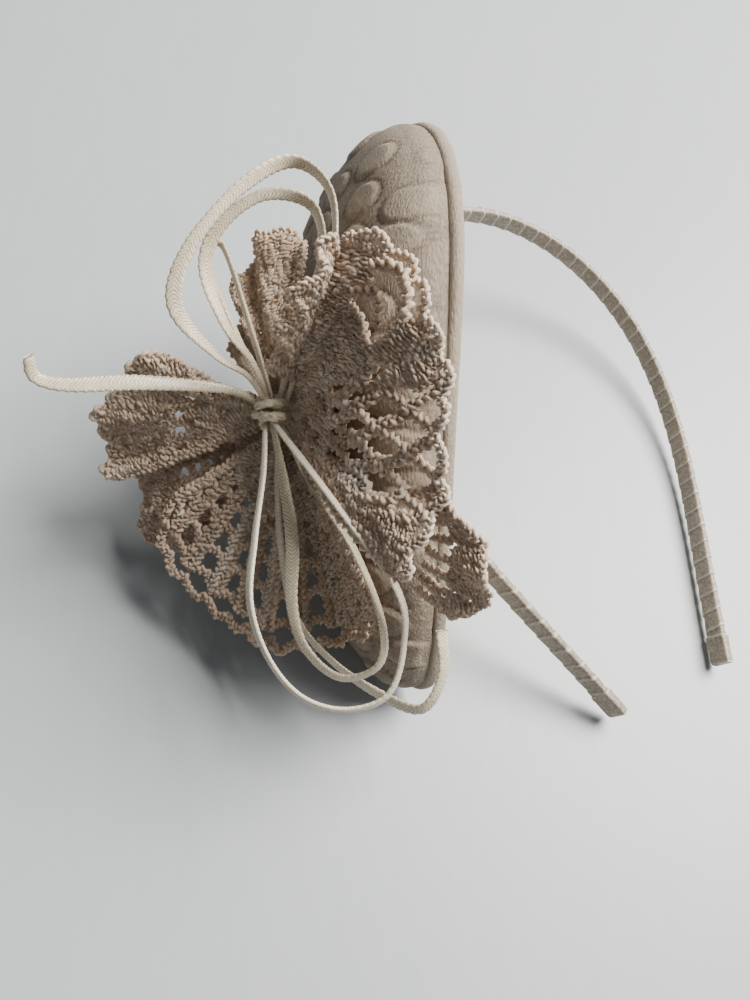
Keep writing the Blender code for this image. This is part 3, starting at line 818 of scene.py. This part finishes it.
def ribbon(build, path, width, turns, free=False, bright=0.0):
    """A flat braid, pinched where it meets the knot.

    turns maps a share of the way along to degrees: 0 faces the viewer, 90 is edge-on.
    """
    path, s = resample(smooth_curve(path), STRAW_STEP)
    tangent = unit(np.gradient(path, axis=0))
    face = np.cross(tangent, VIEW_PAD)
    weak = np.linalg.norm(face, axis=1) < 0.25
    face = unit(face)
    for k in range(1, len(face)):
        if weak[k]:
            face[k] = face[k - 1]
        if face[k] @ face[k - 1] < 0:
            face[k] = -face[k]
    span = 15
    padded = np.pad(face, ((span // 2, span // 2), (0, 0)), mode="edge")
    face = np.stack([np.convolve(padded[:, k], np.ones(span) / span, "valid") for k in range(3)], 1)
    face = unit(face - tangent * (face * tangent).sum(1, keepdims=True))
    edge = np.cross(tangent, face)
    shares = s / s[-1]
    angle = np.radians(np.interp(shares, [t[0] for t in turns], [t[1] for t in turns]))
    wide = face * np.cos(angle)[:, None] + edge * np.sin(angle)[:, None]
    out = np.cross(tangent, wide)
    t = np.linspace(-1, 1, STRAW_ACROSS)
    over = braid_over(s, t)
    crown = 0.16 * (1 - t ** 2)[None]
    top = (STRAW_THICK / 2 + 0.17 * over + crown) * np.sqrt(np.clip(1 - np.abs(t) ** 6, 0.02, 1))[None]
    ends = s if free else np.minimum(s, s[-1] - s)
    pinch = 0.46 + 0.54 * np.clip((ends - 1) / 13, 0, 1) ** 0.8
    pinch = pinch * (1 + 0.14 * np.sin(s / 6.5 + width))
    scallop = ((1 + 0.06 * np.sin(2 * np.pi * s / BRAID)) * pinch)[:, None]
    place = path[:, None] + wide[:, None] * (t[None] * scallop * width / 2)[..., None]
    upper = place + out[:, None] * top[..., None]
    lower = place[:, ::-1] - out[:, None] * top[:, ::-1][..., None]
    ring = np.concatenate([upper, lower], 1)
    ring[0] = ring[0].mean(0) + (ring[0] - ring[0].mean(0)) * 0.8
    sides = ring.shape[1]
    # painted shade between the braid's strands and painted highlights on their crests
    painted_braid_shading = np.where(over < 0.5, -0.75, 0.16) + np.where((over > 0.92), 0.4, 0) + bright
    tone = np.concatenate([painted_braid_shading, painted_braid_shading[:, ::-1]], 1)
    faces = ring_faces(len(path), sides)
    cap_a = np.array([[i, i + 1, sides - 2 - i, sides - 1 - i] for i in range(sides // 2 - 1)])
    base = (len(path) - 1) * sides
    cap_b = cap_a[:, ::-1] + base
    build.add(ring.reshape(-1, 3), np.vstack([faces, cap_a, cap_b]), tone.ravel())


def knot_exit(direction, across, layer, reach=2.2):
    return (direction * reach, across * 0.8, KNOT[2] + layer * 0.8)


def build_bow():
    strands = {
        "straw_long_tail": (
            "long_tail", "bow_tail_long", STRAW_WIDE,
            [(0, 40), (0.12, 12), (0.8, 0), (0.93, 20), (1, 60)],
            [knot_exit(-1, -2.4, 3, 1.4), (-3.2, -2.4, 32.5), (-4.8, -2.3, 37), (-5.6, -2, 45),
             (-6, -2, 58), (-5.4, -4, 72), (-7, -5, 78), (-11, -3, 79.5)]),
        "straw_upper_outer_loop": (
            "upper_loops", "bow_loop_upper_outer", STRAW_WIDE,
            [(0, 70), (0.12, 65), (0.2, 30), (0.28, 0), (0.4, 12), (0.52, 50), (0.64, 66), (0.8, 70),
             (1, 50)],
            [knot_exit(-1, 0.5, 2.6), (-7.5, 3.5, 35), (-11.5, 6, 43), (-21, 8, 52), (-33, 10, 49),
             (-46, 13, 38), (-52, 14, 27), (-46, 16, 19.5), (-33, 15.5, 19), (-20, 11, 22),
             knot_exit(-1, 3.6, -2.8)]),
        "straw_upper_inner_loop": (
            "upper_loops", "bow_loop_upper_inner", STRAW_WIDE,
            [(0, 60), (0.14, 55), (0.3, 40), (0.5, 20), (0.62, 60), (0.76, 60), (0.88, 35), (1, 40)],
            [knot_exit(-1, 0, 1.4), (-11, 0, 32.5), (-19, 0, 38.5), (-31, 1, 43), (-40, 4, 40),
             (-46.5, 7, 31), (-45, 9, 21), (-35, 9, 18.5), (-22, 6, 22), knot_exit(-1, 0, -1.8)]),
        "straw_upper_thin_loop": (
            "upper_loops", "bow_loop_upper_thin", STRAW_THIN,
            [(0, 40), (0.5, 70), (1, 30)],
            [knot_exit(-1, -2.2, 0.5), (-17, -5.5, 33.5), (-33, -6.5, 39.5), (-38.5, -6.5, 38),
             (-34, -6.5, 34.5), knot_exit(-1, -2.2, -0.8)]),
        "straw_lower_outer_loop": (
            "lower_loops", "bow_loop_lower_outer", STRAW_THIN,
            [(0, 40), (0.2, 45), (0.8, 55), (1, 40)],
            [knot_exit(1, 0, 2.6), (14, 6, 33), (28, 10, 37), (41, 14, 40), (53, 16, 37), (62, 17, 30),
             (66, 18, 20), (63, 22, 12), (52, 26, 10), (39, 29, 13), (20, 21, 23.5),
             knot_exit(1, 2, 1.4)]),
        "straw_lower_middle_loop": (
            "lower_loops", "bow_loop_lower_middle", STRAW_WIDE,
            [(0, 45), (0.12, 15), (0.34, 25), (0.5, 60), (0.75, 66), (0.88, 40), (1, 40)],
            [knot_exit(1, -0.5, 0.4), (14, 2.7, 27.1), (29, 7, 27), (43, 8, 28), (53, 10, 26),
             (60, 13, 19), (57, 19, 12.5), (47, 22, 13), (31, 19.5, 18), (16, 10, 23),
             knot_exit(1, 1.5, -1)]),
        "straw_lower_tail": (
            "lower_loops", "bow_tail_lower", STRAW_WIDE,
            [(0, 60), (0.3, 58), (0.6, 55), (0.8, 30), (1, 20)],
            [knot_exit(1, -1.8, -2.2), (16, -1.4, 26.6), (32, 0.2, 26.8), (47, 4, 25.4), (58, 9, 18),
             (66, 14, 8), (68, 20, 2), (60, 24, -1), (50, 24, -1)]),
    }
    for name, (body, cad, width, turns, path) in strands.items():
        build = Build()
        bright = 0.35 if name == "straw_lower_outer_loop" else 0.0
        ribbon(build, path, width, turns, name.endswith("tail"), bright)
        dress(build.piece(name, RAFFIA, pad_world), body, "flat_raffia", cad)
    wraps = Build()
    for offset, size, tilt in ((-2.3, 0.80, 0.35), (-0.8, 1.0, -0.3), (0.9, 1.04, 0.2),
                               (2.3, 0.8, -0.4), (0.2, 0.96, 0.6)):
        a = np.linspace(0, 2 * np.pi, 60)
        lump = 3.7 * size * (1 + 0.13 * np.sin(3 * a + offset * 2) + 0.07 * np.sin(7 * a + tilt * 9))
        along = offset + tilt * 3 * np.cos(a)
        ring = np.stack([along, lump * np.cos(a), KNOT[2] + lump * np.sin(a)], 1)
        out = np.stack([np.zeros_like(a), np.cos(a), np.sin(a)], 1)
        wrap_band(wraps, ring, out, 1.7)
    obj = wraps.piece("straw_knot", RAFFIA, pad_world)
    dress(obj, "pad_and_crown", "flat_raffia", "bow_knot")


def wrap_band(build, ring, out, width):
    """A braid laid flat round a closed ring, creased where it is pulled tight."""
    path, s = resample(np.hstack([ring, out]), STRAW_STEP)
    out, path = unit(path[:, 3:]), path[:, :3]
    tangent = unit(np.gradient(path, axis=0))
    wide = unit(np.cross(tangent, out))
    t = np.linspace(-1, 1, STRAW_ACROSS)
    crease = 0.22 * np.sin(s * 1.9)[:, None] * np.cos(t * 4.0)[None]
    over = braid_over(s, t)
    height = 0.25 + 0.12 * over + crease + 0.2 * (1 - t ** 2)[None]
    place = path[:, None] + wide[:, None] * (t * width / 2)[None, :, None]
    upper = place + out[:, None] * height[..., None]
    lower = (place - out[:, None] * 0.25)[:, ::-1]
    ring = np.concatenate([upper, lower], 1)
    # painted shade between the braid's strands, slightly lighter tone on their tops
    painted_braid_shading = np.where(over < 0.45, -0.5, 0.1)
    tone = np.concatenate([painted_braid_shading, painted_braid_shading[:, ::-1]], 1)
    build.add(ring.reshape(-1, 3), ring_faces(len(path), ring.shape[1]), tone.ravel())


# ---- wound band ----
def band_line(start, end, step=0.3):
    """Points, width direction and outward direction of the strip between two distances from end A."""
    fine = np.linspace(0, BAND_HALF, 1861)
    middle = BAND_HALF - (fine[:-1] + fine[1:]) / 2
    blend = np.clip((middle - STRAIGHT_MIDDLE + STRAIGHT_BLEND) / (2 * STRAIGHT_BLEND), 0, 1)
    bend = blend * blend * (3 - 2 * blend) / CROWN_RADIUS * (fine[1] - fine[0])
    angle = np.concatenate([[0], np.cumsum(bend)])
    half = (angle[:-1] + angle[1:]) / 2
    x = np.concatenate([[0], np.cumsum(np.cos(half) * (fine[1] - fine[0]))])
    y = -np.concatenate([[0], np.cumsum(np.sin(half) * (fine[1] - fine[0]))])
    along = np.linspace(start, end, max(int(abs(end - start) / step), 2) + 1)
    crown = BAND_HALF - along
    side = np.where(crown >= 0, 1, -1)
    a = np.interp(np.abs(crown), fine, angle)
    twist = 110                       # each end leaves the band's plane over this length
    rise_a, rise_b = (np.clip(1 - far / twist, 0, 1) ** 2 for far in (along, 2 * BAND_HALF - along))
    reach = np.abs(crown)
    point = np.stack([side * np.interp(reach, fine, x), np.interp(reach, fine, y),
                      5.0 * rise_a - 4.2 * rise_b], 1)
    outward = np.stack([side * np.sin(a), np.cos(a), np.zeros_like(a)], 1)
    across = np.tile([0.0, 0.0, 1.0], (len(a), 1))
    return along, point, across, outward


def wound(build, start, end, half_w=2.62, half_t=0.92, pitch=5.2, lift=0.34):
    """Ribbon wound round the strip: each turn's edge stands lift above the turn before it."""
    along, point, across, outward = band_line(start, end)
    sides = 36
    q = np.linspace(0, 2 * np.pi, sides, endpoint=False)
    power = 0.42
    a = half_w * np.sign(np.cos(q)) * np.abs(np.cos(q)) ** power
    b = half_t * np.sign(np.sin(q)) * np.abs(np.sin(q)) ** power
    na, nb = np.cos(q) ** 3 * 0.9, np.sin(q)
    scale = np.hypot(na, nb)
    na, nb = na / scale, nb / scale
    turn = np.where(q > np.pi, 2 * np.pi - q, q) / np.pi
    phase = (along[:, None] / pitch + turn[None] * 0.42 + 0.03 * np.sin(along * 0.37)[:, None]) % 1.0
    step_up = np.clip(phase / 0.07, 0, 1)
    height = lift * step_up * (1 - phase) ** 0.8
    # painted highlight on each turn's raised edge and painted shade in the crease where it stands over
    # the turn before
    pale, dark = np.where(phase < 0.16, 0.55, 0.0) * step_up, np.clip(1 - phase / 0.05, 0, 1) * 0.6
    tone = pale - dark - 0.1 * (phase > 0.9)
    ring = (point[:, None] + across[:, None] * (a[None] + na[None] * height)[..., None]
            + outward[:, None] * (b[None] + nb[None] * height)[..., None])
    build.add(ring.reshape(-1, 3), ring_faces(len(along), sides), tone.ravel())


def build_leg(side, tip, sign):
    """The winding of one leg, up to where the crown's starts, and the fold over its end."""
    hinge = tip + sign * HINGE_FROM_TIP
    leg = Build()
    wound(leg, *sorted((tip + sign * 3.0, hinge + sign * 10.6)))
    obj = leg.piece("ribbon_winding_leg_" + side, WRAP, band_world)
    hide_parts("band_wrap_leg_" + side)
    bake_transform(obj)
    fold = Build()
    end_fold(fold, tip, sign)
    obj = fold.piece("ribbon_end_fold_" + side, WRAP, band_world)
    dress(obj, "leg_" + side, "wrap_ribbon", "band_end_fold_" + side)


def build_tie(label, along, knotted):
    """Four turns of thread round the band, with a loose knot on the outside of one."""
    tie = Build()
    for shift in (-0.9, -0.3, 0.3, 0.9):
        _, point, across, outward = band_line(along + shift, along + shift + 0.6)
        q = np.linspace(0, 2 * np.pi, 40)
        a = 3.25 * np.sign(np.cos(q)) * np.abs(np.cos(q)) ** 0.6
        b = 1.5 * np.sign(np.sin(q)) * np.abs(np.sin(q)) ** 0.6
        path = point[0] + across[0] * a[:, None] + outward[0] * b[:, None]
        cord(tie, path, 0.36, pitch=1.2)
    if knotted:
        _, point, across, outward = band_line(along, along + 0.6)
        knot = point[0] + outward[0] * 2.2 + across[0] * 1.2
        for k in range(3):
            a = np.linspace(0, 2 * np.pi, 24)
            loop = np.stack([1.1 * np.cos(a + k), 1.1 * np.sin(a + k), 0.7 * np.sin(a * 2 + k * 2)], 1)
            cord(tie, knot + loop, 0.45, pitch=1.2)
    obj = tie.piece("thread_tie_" + label, THREAD, band_world)
    dress(obj, "pad_and_crown", "sewing_thread", "band_tie_" + label)


def build_band():
    full = 2 * BAND_HALF
    crown = Build()
    wound(crown, CROWN_FROM_TIP, full - CROWN_FROM_TIP)
    obj = crown.piece("ribbon_winding_crown", WRAP, band_world)
    dress(obj, "pad_and_crown", "wrap_ribbon", "band_wrap_crown")
    build_leg("a", 0.0, 1)
    build_leg("b", full, -1)
    build_tie("upper", 247.0, knotted=False)
    build_tie("lower", 271.0, knotted=True)


def end_fold(build, tip, sign):
    """Ribbon folded square over the strip's end: two layers with a raised turn-back edge."""
    along, point, across, outward = band_line(*sorted((tip, tip + sign * 8.4)), step=0.3)
    depth = np.abs(along - tip)
    sides = 28
    q = np.linspace(0, 2 * np.pi, sides, endpoint=False)
    shape_a = np.sign(np.cos(q)) * np.abs(np.cos(q)) ** 0.3
    shape_b = np.sign(np.sin(q)) * np.abs(np.sin(q)) ** 0.3
    edge = np.clip((8.2 - depth) / 0.5, 0, 1)
    hem = 0.16 * np.exp(-((depth - 7.0) / 0.5) ** 2)
    half_w = 3.05 - 0.25 * np.exp(-depth / 0.5)
    half_t = 1.28 + hem - 0.35 * np.exp(-depth / 0.4)
    half_w, half_t = half_w * (0.9 + 0.1 * edge), half_t * (0.72 + 0.28 * edge)
    ring = (point[:, None] + across[:, None] * (half_w[:, None] * shape_a[None])[..., None]
            + outward[:, None] * (half_t[:, None] * shape_b[None])[..., None])
    # painted highlights on the fold's end and along its raised turn-back edge
    tone = 0.35 * (depth < 0.5) + 0.45 * np.exp(-((depth - 7.9) / 0.3) ** 2)
    tone = np.tile(tone[:, None], (1, sides))
    faces = ring_faces(len(along), sides)
    start = sides // 4
    for base in (0, (len(along) - 1) * sides):
        cap = [[base + (start + i) % sides, base + (start + i + 1) % sides,
                base + (start - i - 1) % sides, base + (start - i) % sides] for i in range(sides // 2)]
        faces = np.vstack([faces, cap])
    build.add(ring.reshape(-1, 3), faces, tone.ravel())


# ---- hidden CAD parts ----
def dress_hidden():
    steel, tree, shader = new_material("spring_steel_look")
    shader.inputs["Metallic"].default_value = 1.0
    shader.inputs["Roughness"].default_value = 0.38
    brushed = node(tree, "ShaderNodeTexNoise", Scale=900.0, Detail=2.0)
    tree.links.new(mixed(tree, brushed.outputs["Fac"], (0.45, 0.45, 0.46), (0.66, 0.66, 0.67)),
                   shader.inputs["Base Color"])
    wadding = fabric("wadding_look", (0.30, 0.24, 0.18), (0.20, 0.15, 0.11), (0.42, 0.35, 0.28),
                     700, 0.95, 0.0004)
    board = fabric("board_look", (0.66, 0.60, 0.48), (0.4, 0.36, 0.28), (0.78, 0.73, 0.62),
                   1200, 0.85, 0.0001)
    for name, look in (("band_core_crown", steel), ("band_core_leg_a", steel),
                       ("band_core_leg_b", steel), ("pad_wadding", wadding), ("pad_board", board)):
        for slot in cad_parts[name].material_slots:
            slot.material = look


# ---- stage ----
def build_stage():
    mesh = bpy.data.meshes.new("table_top")
    signs = ((-1, -1), (1, -1), (1, 1), (-1, 1))
    mesh.from_pydata([(x * TABLE_HALF, y * TABLE_HALF, TABLE_TOP) for x, y in signs], [], [(0, 1, 2, 3)])
    floor = bpy.data.objects.new("table_top", mesh)
    bpy.context.scene.collection.objects.link(floor)
    paint, tree, shader = new_material("pale_paint")
    place = node(tree, "ShaderNodeTexCoord").outputs["Object"]
    stroke = node(tree, "ShaderNodeMapping", Scale=(6, 1.2, 1))
    stroke.inputs["Rotation"].default_value = (0, 0, 0.35)
    tree.links.new(place, stroke.inputs["Vector"])
    noise = node(tree, "ShaderNodeTexNoise", Scale=26.0, Detail=5.0, Roughness=0.6)
    tree.links.new(stroke.outputs[0], noise.inputs["Vector"])
    colour = mixed(tree, noise.outputs["Fac"], (0.38, 0.405, 0.42), (0.42, 0.44, 0.45))
    tree.links.new(colour, shader.inputs["Base Color"])
    shader.inputs["Roughness"].default_value = 0.42
    bump = node(tree, "ShaderNodeBump", Strength=0.12, Distance=0.0006)
    tree.links.new(noise.outputs["Fac"], bump.inputs["Height"])
    tree.links.new(bump.outputs["Normal"], shader.inputs["Normal"])
    mesh.materials.append(paint)


def add_light(name, place, size, power, colour):
    light = bpy.data.lights.new(name, "AREA")
    light.shape = "RECTANGLE"
    light.size = light.size_y = size
    light.energy = power
    light.color = colour
    obj = bpy.data.objects.new(name, light)
    bpy.context.scene.collection.objects.link(obj)
    obj.location = place
    obj.rotation_euler = (Vector(LIGHT_TARGET) - Vector(place)).to_track_quat("-Z", "Y").to_euler()


def build_lights():
    add_light("window", (0.56, 0.28, 0.84), size=0.60, power=44, colour=(1.0, 0.98, 0.94))
    add_light("room", (-0.9, -0.8, 1.3), size=1.6, power=0.5, colour=(0.93, 0.96, 1.0))
    world = bpy.data.worlds.new("room_light")
    world.use_nodes = True
    sky = world.node_tree.nodes["Background"].inputs
    sky["Color"].default_value = (0.84, 0.88, 0.92, 1)
    sky["Strength"].default_value = 0.18
    bpy.context.scene.world = world


def build_camera():
    data = bpy.data.cameras.new("camera")
    data.lens = 31.6
    data.sensor_width = 36
    data.clip_start = 0.01
    camera = bpy.data.objects.new("camera", data)
    bpy.context.scene.collection.objects.link(camera)
    forward = Vector(VIEW).normalized()
    right = Vector((0.988, 0, 0.152))
    right = (right - forward * right.dot(forward)).normalized()
    up = right.cross(forward)
    turn = Matrix((right, up, -forward)).transposed()
    camera.matrix_world = Matrix.Translation(Vector(CAMERA_PLACE) * MM) @ turn.to_4x4()
    bpy.context.scene.camera = camera


build_cushion()
build_backing()
build_doily()
build_gather()
build_bow()
build_band()
dress_hidden()
build_stage()
build_lights()
build_camera()
